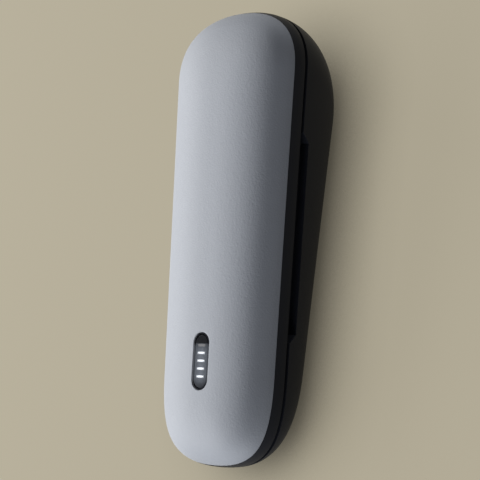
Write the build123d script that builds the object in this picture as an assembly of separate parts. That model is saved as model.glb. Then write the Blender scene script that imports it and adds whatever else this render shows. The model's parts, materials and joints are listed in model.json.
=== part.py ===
from build123d import *
import os
from math import atan, cos, degrees, radians, sin, sqrt

# Shaver charging case: a long clamshell case with a crowned lid, a deeper dark base, a side hinge,
# a charge display in the lid and sprung charging contacts in the base. Millimetres.
# The case is drawn with its parting plane at z = 0, the head end towards +X, the hinge towards +Y
# and the lid above, and is laid on its sloped flat back at the end.

# Outline in plan
length = 208.0
width = 71.0  # at mid length
widening = 7.2  # how much wider the outline is at the head end than at the foot end
head_run = 29.5  # length of the rounded head end
foot_run = 40.0
head_fullness = 2.32  # 2 is an ellipse, more is squarer
foot_fullness = 2.82

# Lid outside
lid_height = 18.5
lid_fullness = 2.4
lid_head_run = 40.5  # how far the crown takes to roll down to the head end
lid_foot_run = 30.5
rim_height = 5.6  # dark frame that shows under the skin
tongue_root = 1.4  # frame's tongue below and above the skin's edge
tongue_rise = 2.6

# Base outside
base_depth_head = 41.9  # from the parting plane to the back, at the head end
base_depth_foot = 20.3
back_share = 0.5  # width of the flat back over the width of the case
base_head_run = 51.7
base_foot_run = 31.9
shadow_gap = 1.8  # open groove between the frame's edge and the base's edge

# Walls and fits
skin_thickness = 1.6
frame_wall = 2.4
base_wall = 2.4
tongue_wall = 1.3
tray_wall = 1.4
fit_gap = 0.2  # between pieces of one body that are assembled loosely
move_gap = 0.35  # between pieces that move past each other
overshoot = 1.0  # how far a cutting tool reaches past what it cuts

# Room for the shaver, and below its cradle for the electronics
cavity_head = 12.0  # from the head tip to the cavity's edge
cavity_waist = 3.0  # how far the cavity's sides draw in along the shaver's handle
under_room_head = 12.1  # between the cradle and the base's floor
under_room_foot = 3.0
cradle_floor_share = 0.62
cradle_head_run = 30.0
cradle_foot_run = 14.0
scoop_from_foot = 100.0  # from the foot tip to the middle of the thumb scoops
scoop_radius = 17.0
liner_fullness = 3.0
liner_head_run = 26.0
liner_foot_run = 12.0

# Tray flanges at the parting line
lip_setback = 1.8  # how far the cradle's edge stands back in the shadow gap
cradle_flange = 1.5
liner_flange = 1.6
liner_recess = 0.4  # liner's edge above the frame's lower edge

# Finger recess in the base's front edge
recess_from_head = 57.6  # from the head tip to the recess's end
recess_from_foot = 56.1
recess_slant = 4.3
recess_floor = 6.0  # below the parting plane
recess_depth = 4.8
recess_wall = 1.6
recess_above = 2.0  # how far the cutting prism stands above the parting plane

# Hinges
hinge_from_end = 54.0  # from each tip to the middle of its hinge
hinge_offset = 0.8  # axis outside the side of the case
barrel_radius = 2.2
pin_radius = 0.8
pin_play = 0.05
knuckle_length = 7.0

# Charge display in the lid
window_from_foot = 46.7  # from the foot tip to the window's middle
window_length = 25.8
window_width = 9.5
bezel_wall = 0.7
bezel_flange = 2.0
bezel_plate = 1.0
bezel_ear = 7.5
bezel_corner = 2.0
bezel_proud = 0.15  # collar's edge below the crown
bezel_skin_gap = 0.1  # between the flange and the skin above it
display_post_radius = 1.8
display_post_gap = 1.2  # from the ear's middle outwards
button_sink = 0.4  # button's face below the crown
button_thickness = 1.4
button_round = 0.3
bar_count = 5
bar_pitch = 3.48
bar_margin = 6.1  # from the window's foot end to the first bar's middle
bar_length = 4.6
bar_width = 1.1
board_thickness = 1.0
board_corner = 1.0
display_board_width = 11.0
display_board_margin = 2.5  # board's end beyond its screws
board_screw_radius = 0.6
board_screw_length = 2.2
board_screw_head_radius = 1.3
board_screw_head = 0.5
switch_height = 1.2
switch_size = 3.4
switch_end = 2.6  # from the window's head end to the switch's middle
plunger_radius = 1.1
plunger_height = 0.95  # from the switch's top to the button, which it touches
plunger_seat = 0.1  # plunger's foot below the switch's top
plunger_round = 0.22
button_travel = 0.5
led_length = 0.8
led_width = 1.6
led_height = 0.6
liner_clearance = 0.25  # between the liner and the display's screws

# Charging contacts
contact_spacing = 7.0
contact_height = -6.0
contact_radius = 1.2
contact_reach = 2.4  # tip beyond the cavity's end wall
contact_travel = 1.6
contact_round = 0.8
collar_radius = 1.8
collar_thickness = 0.9
chamber_radius = 2.1
block_width = 16.0
block_height = 7.6
block_front = 1.2
block_back = 1.0
block_corner = 1.2
spring_wire = 0.4
spring_turns = 3
spring_pressed = 1.55  # spring's length when the pin is pushed right in
spring_side = 0.3  # around the spring in its chamber
spring_end = 0.1
contact_room = 1.6  # between the contact block and the inlet's prongs

# Power inlet in the foot end
inlet_height = -7.6
inlet_width = 15.0
inlet_opening = 7.2
inlet_wall = 1.1
inlet_depth = 11.0  # from the foot tip to the socket's floor
inlet_floor = 1.6
inlet_collar = 1.0  # collar's step behind the shell's wall
inlet_collar_span = 2.4
prong_radius = 1.0
prong_spacing = 7.0
prong_length = 7.0
prong_tail = 1.6
prong_round = 0.5

# Battery and charge board on the base's floor
board_gap = 6.0  # between the charge board and the cell
cell_length = 56.0
cell_width = 29.0
cell_height = 5.4
cell_corner = 1.2
rib_wall = 1.2
rib_height = 3.6
rib_run = 39.2  # length of the side ribs
rib_end_run = 18.0
floor_sink = 0.4  # how deep ribs and standoffs root in the floor
board_from_foot = 40.0  # from the foot tip to the charge board's edge
board_length = 36.0
board_width = 26.0
board_standoff = 1.2
standoff_radius = 2.0
standoff_margin = 3.0  # from the board's edges to the standoffs' middles
inductor_size = 6.0
inductor_height = 2.0
controller_size = 5.0
controller_height = 1.0
plug_length = 4.0
plug_width = 6.0
plug_height = 2.0
plug_spread = 12.0
plug_margin = 3.0  # plugs' faces inside the board's edge
capacitor_size = (1.6, 0.9, 0.8)
capacitor_count = 5
capacitor_pitch = 3.0
part_margin = 4.0  # from the board's edges to the inductor and the capacitors' row
lead_radius = 0.5
lead_height = 4.45  # above the floor, over the cell's end rib
lead_spread = 3.0

# Fasteners and magnets
screw_radius = 0.9
screw_head_radius = 1.8
screw_head_height = 0.8
screw_slot_span = 2.52  # length of the cross slot's arms
screw_head_slot = 0.5  # width of the arms
liner_screw_length = 4.4
cradle_screw_length = 7.0
boss_radius = 2.1
boss_root = 0.1  # how deep a boss roots in the side wall
boss_gap = 0.1  # between a boss and the tray beside it
boss_length = 12.0
boss_past_magnet = 3.4  # from a magnet's end to the next boss's axis
magnet_gap = 1.0  # from the recess's wall to a magnet's end
magnet_length = 12.0
magnet_width = 3.0
magnet_height = 1.6
magnet_proud = 0.6  # how much of a magnet stands out of its pocket
magnet_edge = 0.4  # from the flange's edge to a magnet

# Soft pads
pad_thickness = 1.2
pad_length = 26.0
pad_width = 10.0
pad_corner = 3.0
pad_round = 0.5
pad_press = 0.3  # lid pads sunk into the liner
pad_from_foot = 30.0  # from the cavity's ends to the pads' middles
pad_from_head = 52.0

side_slope = widening / (2 * length)
back_slope = (base_depth_head - base_depth_foot) / length
tilt = degrees(atan(back_slope))
mid_half = width / 2


def handle(fullness):
    # Bezier handle length that gives a quarter of a superellipse of this fullness
    return (8 * 2 ** (-1 / fullness) - 4) / 3


def half_width(x):
    return mid_half + side_slope * x


def base_depth(x):
    return base_depth_foot + (base_depth_head - base_depth_foot) * (x / length + 0.5)


def cradle_depth(x):
    # The cradle's floor leaves room for the electronics, more towards the head
    room = under_room_foot + (under_room_head - under_room_foot) * (x / length + 0.5)
    return base_depth(x) - base_wall - tray_wall - room


def boss_inset():
    # From the outside of the case to a boss's axis
    return base_wall + boss_radius - boss_root


def cavity_side():
    # From the outside of the case to the cavity's edge, clear of the bosses and the finger recess
    bosses = boss_inset() + boss_radius + boss_gap
    recess = recess_depth + recess_wall + fit_gap
    return max(bosses, recess) + tray_wall


def cavity_foot():
    # From the foot tip to the cavity's edge, behind the inlet and the contact block
    inlet = inlet_depth + inlet_floor + prong_tail
    return inlet + contact_room + block_span() + fit_gap + tray_wall


def cavity_inset(wall):
    return (cavity_side() - wall, cavity_head - wall, cavity_foot() - wall)


def liner_depth():
    # The liner's ceiling stays under the screws of the display board
    return board_top() - board_thickness - board_screw_head - liner_clearance - tray_wall


def ring(inset, share, ends, level, waist=0):
    # Closed outline of the case, inset by (side, head, foot), narrowed to a share of its width,
    # with its two ends drawn in by ends = (head, foot), at the height level(x). A waist draws the
    # middle of its sides in.
    side, head, foot = inset
    head_tip = length / 2 - head - ends[0]
    foot_tip = -length / 2 + foot + ends[1]
    corner_head = head_run * share
    corner_foot = foot_run * share
    head_start = head_tip - corner_head
    foot_start = foot_tip + corner_foot
    pull_head = handle(head_fullness)
    pull_foot = handle(foot_fullness)

    def half(x):
        return (half_width(x) - side) * share

    def point(x, y):
        return Vector(x, y, level(x))

    def corner(start, run, tip, pull, sign):
        near = start + run * pull
        return [
            point(start, sign * half(start)),
            point(near, sign * half(near)),
            point(tip, sign * pull * half(tip)),
            point(tip, 0),
        ]

    def side_run(start, end, sign):
        if not waist:
            return Edge.make_line(start, end)
        # Five spans, so that the ends run on from the corners; its middle moves 20/32 of the pull
        pull = Vector(0, -sign * share * waist * 32 / 20, 0)
        points = [start + (end - start) * step / 5 for step in range(6)]
        points[2] = points[2] + pull
        points[3] = points[3] + pull
        return Edge.make_bezier(*points)

    head_low = corner(head_start, corner_head, head_tip, pull_head, -1)
    head_high = corner(head_start, corner_head, head_tip, pull_head, 1)
    foot_low = corner(foot_start, -corner_foot, foot_tip, pull_foot, -1)
    foot_high = corner(foot_start, -corner_foot, foot_tip, pull_foot, 1)
    return Wire(
        [
            Edge.make_bezier(*head_low),
            Edge.make_bezier(*reversed(head_high)),
            side_run(head_high[0], foot_high[0], 1),
            Edge.make_bezier(*foot_high),
            Edge.make_bezier(*reversed(foot_low)),
            side_run(foot_low[0], head_low[0], -1),
        ]
    )


def all_round(inset):
    return (inset, inset, inset)


def dome(inset, height, fullness, ends, angles=(0, 14, 28, 42, 55, 66, 76, 84, 88.6)):
    # Crowned solid above the parting plane: outlines stacked by the law of a superellipse
    rings = []
    for angle in angles:
        share = cos(radians(angle)) ** (2 / fullness)
        rise = height * sin(radians(angle)) ** (2 / fullness)
        drawn = (ends[0] * (1 - share), ends[1] * (1 - share))
        rings.append(ring(inset, share, drawn, lambda x: rise))
    return Solid.make_loft(rings)


def bowl(inset, depth, floor_share, ends, waist=0, angles=(0, 15, 30, 45, 60, 75, 90)):
    # Rounded solid below the parting plane, with a flat, sloped floor at depth(x)
    rings = []
    for angle in angles:
        roll = 1 - cos(radians(angle))
        drop = sin(radians(angle))
        share = 1 - (1 - floor_share) * roll
        drawn = (ends[0] * roll, ends[1] * roll)
        rings.append(ring(inset, share, drawn, lambda x: -drop * depth(x), waist))
    return Solid.make_loft(rings)


def lid_form(wall):
    return dome(all_round(wall), lid_height - wall, lid_fullness, (lid_head_run, lid_foot_run))


def base_form(wall):
    ends = (base_head_run, base_foot_run)
    return bowl(all_round(wall), lambda x: base_depth(x) - wall, back_share, ends)


def slab(low, high):
    # Everything between two heights
    reach = 2 * length
    return Pos(0, 0, (low + high) / 2) * Box(reach, reach, high - low)


def plate(inset, low, high):
    # Flat plate with the case's outline, inset all round
    outline = ring(all_round(inset), 1, (0, 0), lambda x: low)
    return Solid.extrude(Face(outline), Vector(0, 0, high - low))


def on_back(x, y, rise):
    # Place on the base's sloped inner floor, rise above it
    return Location((x, y, base_wall - base_depth(x)), (0, tilt, 0)) * Pos(0, 0, rise)


def on_hinge(x):
    # Place on the hinge axis, which runs along the tapered side
    side_angle = degrees(atan(side_slope))
    return Location((0, mid_half + hinge_offset, -shadow_gap / 2), (0, 0, side_angle)) * Pos(x, 0, 0)


def rod(radius, span):
    # Round bar along x, centred
    return Rot(0, 90, 0) * Cylinder(radius, span)


def cut_by(shape, tools):
    for tool in tools:
        shape = shape - tool
    return shape


# Hinge


def hinge_centres():
    reach = length / 2 - hinge_from_end
    return (-reach, reach)


def base_knuckle_places():
    pitch = knuckle_length + move_gap
    return [centre + side * pitch for centre in hinge_centres() for side in (-1, 1)]


def knuckles(places, bore):
    bars = [on_hinge(x) * rod(barrel_radius, knuckle_length) for x in places]
    return [bar - on_hinge(x) * rod(bore, knuckle_length + overshoot) for x, bar in zip(places, bars)]


def knuckle_reliefs(places):
    span = knuckle_length + 2 * move_gap
    return [on_hinge(x) * rod(barrel_radius + move_gap, span) for x in places]


def hinge_pin(centre):
    span = 3 * knuckle_length + 2 * move_gap
    return on_hinge(centre) * rod(pin_radius, span)


# Finger recess


def recess_ends():
    return (recess_from_foot - length / 2, length / 2 - recess_from_head)


def recess_tool(wall):
    # Prism of the recess with slanted ends, grown by a wall, along the base's front edge
    foot, head = recess_ends()
    outline = Polyline(
        (foot - wall, recess_above),
        (foot - wall, -shadow_gap),
        (foot + recess_slant - wall, -recess_floor - wall),
        (head - recess_slant + wall, -recess_floor - wall),
        (head + wall, -shadow_gap),
        (head + wall, recess_above),
        close=True,
    )
    face = make_face(Plane.XZ * outline)
    depth = 2 * (recess_depth + wall)
    prism = extrude(face, amount=depth / 2, both=True)
    return Location((0, -mid_half, 0), (0, 0, -degrees(atan(side_slope)))) * prism


# Screws, bosses and magnets


def magnet_xs():
    foot, head = recess_ends()
    off = recess_wall + magnet_gap + magnet_length / 2
    return (foot - off, head + off)


def boss_places():
    foot, head = magnet_xs()
    off = magnet_length / 2 + boss_past_magnet
    ends = (foot - off, head + off)
    return [(x, side * (half_width(x) - boss_inset())) for x in ends for side in (-1, 1)]


def screw(pointing, span):
    # Flat-headed screw, head's outer face at the origin, shank pointing up or down
    head = Pos(0, 0, pointing * screw_head_height / 2) * Cylinder(screw_head_radius, screw_head_height)
    shank = Pos(0, 0, pointing * (screw_head_height + span / 2)) * Cylinder(screw_radius, span)
    slot = Box(screw_slot_span, screw_head_slot, screw_head_height)
    cross = Box(screw_head_slot, screw_slot_span, screw_head_height)
    return cut_by(head + shank, [slot, cross])


def pilot_holes(pointing, z, span):
    # Holes that the screws cut their thread in, from the flange's outer face inwards
    hole = Pos(0, 0, pointing * (screw_head_height + span) / 2) * Cylinder(
        screw_radius, screw_head_height + span
    )
    return [Pos(x, y, z) * hole for x, y in boss_places()]


def screw_seat(pointing):
    # Hole and counterbore for one screw through a flange
    bore = Cylinder(screw_radius + fit_gap, 2 * (liner_flange + overshoot))
    seat = Pos(0, 0, pointing * (screw_head_height - overshoot) / 2) * Cylinder(
        screw_head_radius + fit_gap, screw_head_height + overshoot
    )
    return bore + seat


def magnet_place(x, z):
    # Just behind the frame's front wall, along the tapered side
    y = -(half_width(x) - frame_wall - 2 * fit_gap - magnet_edge - magnet_width / 2)
    return Location((x, y, z), (0, 0, -degrees(atan(side_slope))))


# Lid


def make_lid_skin():
    shell = lid_form(0) - lid_form(skin_thickness)
    shell = shell - slab(-overshoot, rim_height)
    return shell - window(0, 0, lid_height + overshoot)


def make_lid_frame():
    rim = (lid_form(0) - lid_form(frame_wall)) - slab(rim_height, lid_height + overshoot)
    tongue = lid_form(skin_thickness) - lid_form(skin_thickness + tongue_wall)
    tongue = tongue & slab(rim_height - tongue_root, rim_height + tongue_rise)
    frame = rim + tongue
    frame = frame + lid_bosses()
    frame = cut_by(frame, pilot_holes(1, liner_recess, liner_screw_length))
    lid_places = hinge_centres()
    frame = cut_by(frame, knuckle_reliefs(base_knuckle_places()))
    frame = frame + knuckles(lid_places, pin_radius + pin_play)
    bore = rod(pin_radius + pin_play, knuckle_length + overshoot)
    return cut_by(frame, [on_hinge(x) * bore for x in lid_places])


def lid_bosses():
    # Posts on the frame's inner wall, trimmed to the underside of the skin
    low = liner_top()
    high = liner_recess + screw_head_height + liner_screw_length + screw_radius
    room = lid_form(skin_thickness)
    post = Pos(0, 0, (low + high) / 2) * Cylinder(boss_radius, high - low)
    return [Pos(x, y, 0) * post & room for x, y in boss_places()]


def liner_top():
    return liner_recess + liner_flange


def liner_bowl(wall):
    ends = (liner_head_run, liner_foot_run)
    return dome(cavity_inset(wall), liner_depth() + wall, liner_fullness, ends)


def make_lid_liner():
    flange = plate(frame_wall + fit_gap, liner_recess, liner_top())
    tray = flange + (liner_bowl(tray_wall) - slab(-overshoot, liner_recess))
    tray = tray - liner_bowl(0)
    seats = [Pos(x, y, liner_recess) * screw_seat(1) for x, y in boss_places()]
    pockets = [magnet_place(x, liner_top()) * magnet_pocket(-1) for x in magnet_xs()]
    return cut_by(tray, seats + pockets)


def magnet_pocket(pointing):
    depth = magnet_height - magnet_proud
    return Pos(0, 0, pointing * depth / 2) * Box(magnet_length, magnet_width, depth)


def magnets(z, pointing):
    # Bar magnets, each sunk by part of its height into its pocket
    centre = pointing * (magnet_height / 2 - magnet_proud)
    bar = Box(magnet_length, magnet_width, magnet_height)
    return [magnet_place(x, z) * Pos(0, 0, centre) * bar for x in magnet_xs()]


def make_liner_screws():
    shape = screw(1, liner_screw_length)
    return [Pos(x, y, liner_recess) * shape for x, y in boss_places()]


def pad_xs():
    return (pad_from_foot + cavity_foot() - length / 2, length / 2 - cavity_head - pad_from_head)


def soft_pad(end):
    # Pad with rounded corners and a softened face, which is the last or first along z
    pad = Box(pad_length, pad_width, pad_thickness)
    pad = fillet(pad.edges().filter_by(Axis.Z), pad_corner)
    return fillet(pad.faces().sort_by(Axis.Z)[end].edges(), pad_round)


def make_lid_pads():
    # Two soft pads under the liner's ceiling
    middle = liner_depth() - pad_press - pad_thickness / 2
    ceiling = liner_bowl(0)
    return [Pos(x, 0, middle) * soft_pad(0) & ceiling for x in pad_xs()]


# Charge display


def window_x():
    return window_from_foot - length / 2


def window(inset, low, high):
    # Pill-shaped prism on the display's place
    face = SlotOverall(window_length - 2 * inset, window_width - 2 * inset)
    return Pos(window_x(), 0, low) * extrude(face, amount=high - low)


def button_face():
    return lid_height - button_sink


def button_under():
    return button_face() - button_thickness


def flange_top():
    # Highest plane that the bezel's flange can take under the curved skin
    half = window_width / 2 + bezel_flange
    inner = lid_height - skin_thickness
    share = half / (mid_half - skin_thickness)
    return inner * (1 - share**lid_fullness) ** (1 / lid_fullness) - bezel_skin_gap


def board_top():
    return button_under() - plunger_height - switch_height


def make_display_bezel():
    # Collar around the window, a flange under the skin and two ears with posts for the board
    top = flange_top()
    plate_low = top - bezel_plate
    collar = window(0, plate_low, lid_height) & lid_form(bezel_proud)
    flange = window(-bezel_flange, plate_low, top)
    ear_width = window_width - bezel_corner
    ear = Pos(window_x(), 0, (plate_low + top) / 2) * Box(
        window_length + 2 * bezel_ear, ear_width, bezel_plate
    )
    bezel = collar + flange + fillet(ear.edges().filter_by(Axis.Z), bezel_corner)
    post_height = plate_low - board_top()
    post = Pos(0, 0, plate_low - post_height / 2) * Cylinder(display_post_radius, post_height)
    depth = board_screw_length - board_thickness
    hole = Pos(0, 0, board_top() + depth / 2) * Cylinder(board_screw_radius, depth)
    bezel = bezel + [Pos(x, 0, 0) * post for x in display_posts()]
    holes = [Pos(x, 0, 0) * hole for x in display_posts()]
    return cut_by(bezel, [window(bezel_wall, 0, lid_height + overshoot)] + holes)


def display_posts():
    reach = window_length / 2 + bezel_ear / 2 + display_post_gap
    return (window_x() - reach, window_x() + reach)


def bar_xs():
    first = window_x() - window_length / 2 + bar_margin
    return [first + step * bar_pitch for step in range(bar_count)]


def bar(x):
    middle = (button_under() + button_face()) / 2
    return Pos(x, 0, middle) * Box(bar_width, bar_length, button_thickness)


def make_display_button():
    inset = bezel_wall + move_gap
    body = window(inset, button_under(), button_face())
    rim = body.faces().sort_by(Axis.Z)[-1].edges()
    body = fillet(rim, button_round)
    return cut_by(body, [bar(x) for x in bar_xs()])


def switch_x():
    return window_x() + window_length / 2 - switch_end


def make_display_board():
    foot, head = display_posts()
    span = head - foot + 2 * display_board_margin
    board = Box(span, display_board_width, board_thickness)
    board = fillet(board.edges().filter_by(Axis.Z), board_corner)
    board = Pos(window_x(), 0, board_top() - board_thickness / 2) * board
    hole = Cylinder(board_screw_radius + fit_gap, 2 * (board_thickness + overshoot))
    return cut_by(board, [Pos(x, 0, board_top()) * hole for x in (foot, head)])


def make_board_screws():
    under = board_top() - board_thickness
    head = Pos(0, 0, -board_screw_head / 2) * Cylinder(board_screw_head_radius, board_screw_head)
    shank = Pos(0, 0, board_screw_length / 2) * Cylinder(board_screw_radius, board_screw_length)
    return [Pos(x, 0, under) * (head + shank) for x in display_posts()]


def make_display_leds():
    # One under each bar, kept clear of the switch
    rise = board_top() + led_height / 2
    return [Pos(x, 0, rise) * Box(led_length, led_width, led_height) for x in bar_xs()]


def make_switch_body():
    body = Pos(switch_x(), 0, board_top() + switch_height / 2) * Box(
        switch_size, switch_size, switch_height
    )
    well_depth = button_travel + plunger_seat + pin_play
    well = Pos(switch_x(), 0, board_top() + switch_height) * Cylinder(
        plunger_radius + pin_play, 2 * well_depth
    )
    return body - well


def make_switch_plunger():
    low = board_top() + switch_height - plunger_seat
    high = board_top() + switch_height + plunger_height
    post = Pos(switch_x(), 0, (low + high) / 2) * Cylinder(plunger_radius, high - low)
    return fillet(post.edges().sort_by(Axis.Z)[-1], plunger_round)


# Base


def cradle_bowl(wall):
    ends = (cradle_head_run, cradle_foot_run)
    return bowl(
        cavity_inset(wall), lambda x: cradle_depth(x) + wall, cradle_floor_share, ends, cavity_waist
    )


def thumb_scoops(wall):
    # Balls that widen the waisted cavity where thumb and finger lift the shaver's handle out
    x = scoop_from_foot - length / 2
    y = half_width(x) - cavity_side() - scoop_radius
    return [Pos(x, side * y, cradle_top()) * Sphere(scoop_radius + wall) for side in (-1, 1)]


def cradle_top():
    return cradle_flange - shadow_gap


def make_cradle():
    top = cradle_top()
    flange = plate(lip_setback, -shadow_gap, top)
    outside = [cradle_bowl(tray_wall)] + thumb_scoops(tray_wall)
    above = slab(-shadow_gap, scoop_radius + 2 * tray_wall)
    tray = flange + [form - above for form in outside]
    tray = cut_by(tray, [cradle_bowl(0)] + thumb_scoops(0))
    tray = tray - slab(top, cradle_flange)
    tools = [Pos(x, y, top) * screw_seat(-1) for x, y in boss_places()]
    tools += [magnet_place(x, -shadow_gap) * magnet_pocket(1) for x in magnet_xs()]
    tools += knuckle_reliefs(hinge_centres())
    tools += [recess_tool(0)]
    bore = rod(contact_radius + move_gap, 2 * cradle_foot_run)
    tools += [contact_place(side) * bore for side in (-1, 1)]
    return cut_by(tray, tools)


def make_cradle_screws():
    shape = screw(-1, cradle_screw_length)
    return [Pos(x, y, cradle_top()) * shape for x, y in boss_places()]


def make_cradle_pads():
    # Soft pads on the cradle's floor, parallel to it
    drop = cradle_depth(length / 2) - cradle_depth(-length / 2)
    floor_tilt = degrees(atan(drop / length))
    lift = Pos(0, 0, pad_thickness / 2)
    places = [Location((x, 0, -cradle_depth(x)), (0, floor_tilt, 0)) for x in pad_xs()]
    return [place * lift * soft_pad(-1) for place in places]


def make_base_shell():
    outer = base_form(0)
    shell = (outer - base_form(base_wall)) - slab(-shadow_gap, overshoot)
    inside = base_form(base_wall / 2) - slab(-shadow_gap, overshoot)
    pocket = recess_tool(recess_wall) & inside
    shell = shell + pocket
    post = Pos(0, 0, -shadow_gap - boss_length / 2) * Cylinder(boss_radius, boss_length)
    shell = shell + [Pos(x, y, 0) * post & inside for x, y in boss_places()]
    shell = shell + battery_ribs() + board_standoffs()
    shell = cut_by(shell, knuckle_reliefs(hinge_centres()) + [recess_tool(0)])
    shell = shell + knuckles(base_knuckle_places(), pin_radius)
    holes = [on_hinge(x) * rod(pin_radius, knuckle_length + overshoot) for x in base_knuckle_places()]
    holes += pilot_holes(-1, cradle_top(), cradle_screw_length)
    holes.append(inlet_outline(inlet_wall, inlet_run() + inlet_floor))
    return cut_by(shell, holes)


def battery_ribs():
    # Low walls that hold the cell on the floor
    side = cell_width / 2 + fit_gap + rib_wall / 2
    end = cell_length / 2 + fit_gap + rib_wall / 2
    side_rib = Box(rib_run, rib_wall, rib_height + floor_sink)
    end_rib = Box(rib_wall, rib_end_run, rib_height + floor_sink)
    place = on_cell(0) * Pos(0, 0, (rib_height - floor_sink) / 2)
    sides = [place * Pos(0, sign * side, 0) * side_rib for sign in (-1, 1)]
    ends = [place * Pos(sign * end, 0, 0) * end_rib for sign in (-1, 1)]
    return sides + ends


def on_cell(rise):
    # Middle of the cell, which lies beside the charge board
    x = board_from_foot - length / 2 + board_length + board_gap + cell_length / 2
    return on_back(x, 0, rise)


def on_board(rise):
    return on_back(board_from_foot - length / 2 + board_length / 2, 0, board_standoff + rise)


def board_standoffs():
    dx = board_length / 2 - standoff_margin
    dy = board_width / 2 - standoff_margin
    height = board_standoff + floor_sink
    post = Cylinder(standoff_radius, height)
    place = on_board(-height / 2)
    return [place * Pos(x, y, 0) * post for x in (-dx, dx) for y in (-dy, dy)]


def make_battery_cell():
    cell = Box(cell_length, cell_width, cell_height)
    cell = fillet(cell.edges().filter_by(Axis.X), cell_corner)
    return on_cell(cell_height / 2) * cell


def make_charge_board():
    board = Box(board_length, board_width, board_thickness)
    board = fillet(board.edges().filter_by(Axis.Z), board_corner)
    return on_board(board_thickness / 2) * board


def seated(x, y, size):
    # Block of this size that stands on the charge board
    return on_board(board_thickness + size[2] / 2) * Pos(x, y, 0) * Box(*size)


def make_board_parts():
    # Inductor, charge controller, two plugs for the leads and a row of capacitors
    edge = board_length / 2 - part_margin
    low_edge = part_margin - board_width / 2
    coil = (inductor_size, inductor_size, inductor_height)
    inductor = seated(inductor_size - edge, -low_edge - inductor_size / 2, coil)
    controller = seated(0, 0, (controller_size, controller_size, controller_height))
    plug = (plug_length, plug_width, plug_height)
    plugs = [seated(plug_face() - plug_length / 2, side * plug_spread / 2, plug) for side in (-1, 1)]
    row_xs = [step * capacitor_pitch - edge for step in range(capacitor_count)]
    row = [seated(x, low_edge, capacitor_size) for x in row_xs]
    return [inductor, controller] + plugs + row


def plug_face():
    return board_length / 2 - plug_margin


def make_battery_leads():
    # Two leads from a plug on the board up over the end rib to the cell
    start = plug_face()
    end = board_length / 2 + board_gap
    low = board_standoff + board_thickness + plug_height / 2
    height = lead_height - low
    place = on_board(low - board_standoff)
    leads = []
    for side in (-1, 1):
        y = (plug_spread + side * lead_spread) / 2
        bend = (start + plug_margin, y, 0)
        rise = (end - plug_margin, y, height)
        run = Polyline((start, y, 0), bend, rise, (end, y, height))
        leads.append(place * lead_tube(run))
    return leads


def lead_tube(run):
    section = Plane(run @ 0, z_dir=run % 0) * Circle(lead_radius)
    return sweep(section, path=run, transition=Transition.ROUND)


# Charging contacts


def cavity_end():
    # Where the cavity's foot wall stands at the contacts' height
    edge = cavity_foot() - length / 2
    drop = -contact_height / cradle_depth(edge)
    roll = 1 - sqrt(1 - drop**2)
    return edge + cradle_foot_run * roll


def contact_place(side):
    return Pos(cavity_end(), side * contact_spacing / 2, contact_height)


def block_face():
    # Front of the contact block, behind the cradle's end wall at the top of the block
    return cavity_foot() - length / 2 - tray_wall - fit_gap


def chamber_length():
    # Room for the collar, its travel and the spring when pressed
    return move_gap + collar_thickness + contact_travel + spring_pressed


def block_span():
    return block_front + chamber_length() + block_back


def make_contact_block():
    span = block_span()
    block = Pos(block_face() - span / 2, 0, contact_height) * Box(span, block_width, block_height)
    block = fillet(block.edges().filter_by(Axis.X), block_corner)
    tools = []
    for side in (-1, 1):
        y = side * contact_spacing / 2
        nose = Pos(block_face(), y, contact_height) * rod(
            contact_radius + pin_play, 2 * (block_front + overshoot)
        )
        middle = block_face() - block_front - chamber_length() / 2
        chamber = Pos(middle, y, contact_height) * rod(chamber_radius, chamber_length())
        tools += [nose, chamber]
    return cut_by(block, tools)


def make_contact_pin(side):
    tip = cavity_end() + contact_reach
    collar_front = block_face() - block_front - move_gap
    shank_length = tip - collar_front
    shank = Pos((tip + collar_front) / 2, 0, 0) * rod(contact_radius, shank_length)
    shank = fillet(shank.edges().sort_by(Axis.X)[-1], contact_round)
    collar = Pos(collar_front - collar_thickness / 2, 0, 0) * rod(collar_radius, collar_thickness)
    return Pos(0, side * contact_spacing / 2, contact_height) * (shank + collar)


def make_contact_spring(side):
    # Coil between the collar and the chamber's back wall
    front = block_face() - block_front - move_gap - collar_thickness - spring_end
    back = block_face() - block_front - chamber_length() + spring_end
    radius = chamber_radius - spring_side - spring_wire / 2
    pitch = (front - back - spring_wire) / spring_turns
    path = Edge.make_helix(pitch, pitch * spring_turns, radius)
    wire = sweep(
        Plane(path.position_at(0), z_dir=path.tangent_at(0)) * Circle(spring_wire / 2), path=path
    )
    place = Location((back + spring_wire / 2, side * contact_spacing / 2, contact_height), (0, 90, 0))
    return place * wire


# Power inlet


def inlet_run():
    # From well outside the foot tip to the socket's floor
    return 2 * inlet_depth


def inlet_outline(grow, span):
    # Oval prism that runs inwards and ends at the socket's floor when its span is inlet_run
    start = inlet_depth - length / 2 - inlet_run()
    face = SlotOverall(inlet_width + 2 * grow, inlet_opening + 2 * grow)
    prism = extrude(face, amount=span)
    return Pos(start, 0, inlet_height) * Rot(0, 90, 0) * Rot(0, 0, 90) * prism


def make_inlet_socket():
    back = inlet_run() + inlet_floor
    body = inlet_outline(inlet_wall, back)
    step = inlet_wall + inlet_collar
    collar = inlet_outline(step, back) - inlet_outline(2 * step, back - inlet_collar_span)
    socket = (body & base_form(0)) + (collar & base_form(base_wall)) - inlet_outline(0, inlet_run())
    bore = rod(prong_radius, 2 * (inlet_floor + overshoot))
    return cut_by(socket, [prong_place(side) * bore for side in (-1, 1)])


def prong_place(side):
    return Pos(inlet_depth - length / 2, side * prong_spacing / 2, inlet_height)


def make_inlet_prongs():
    span = prong_length + inlet_floor + prong_tail
    middle = (inlet_floor + prong_tail - prong_length) / 2
    prongs = []
    for side in (-1, 1):
        prong = Pos(middle, 0, 0) * rod(prong_radius, span)
        prong = fillet(prong.edges().sort_by(Axis.X)[0], prong_round)
        prongs.append(prong_place(side) * prong)
    return prongs


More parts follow.
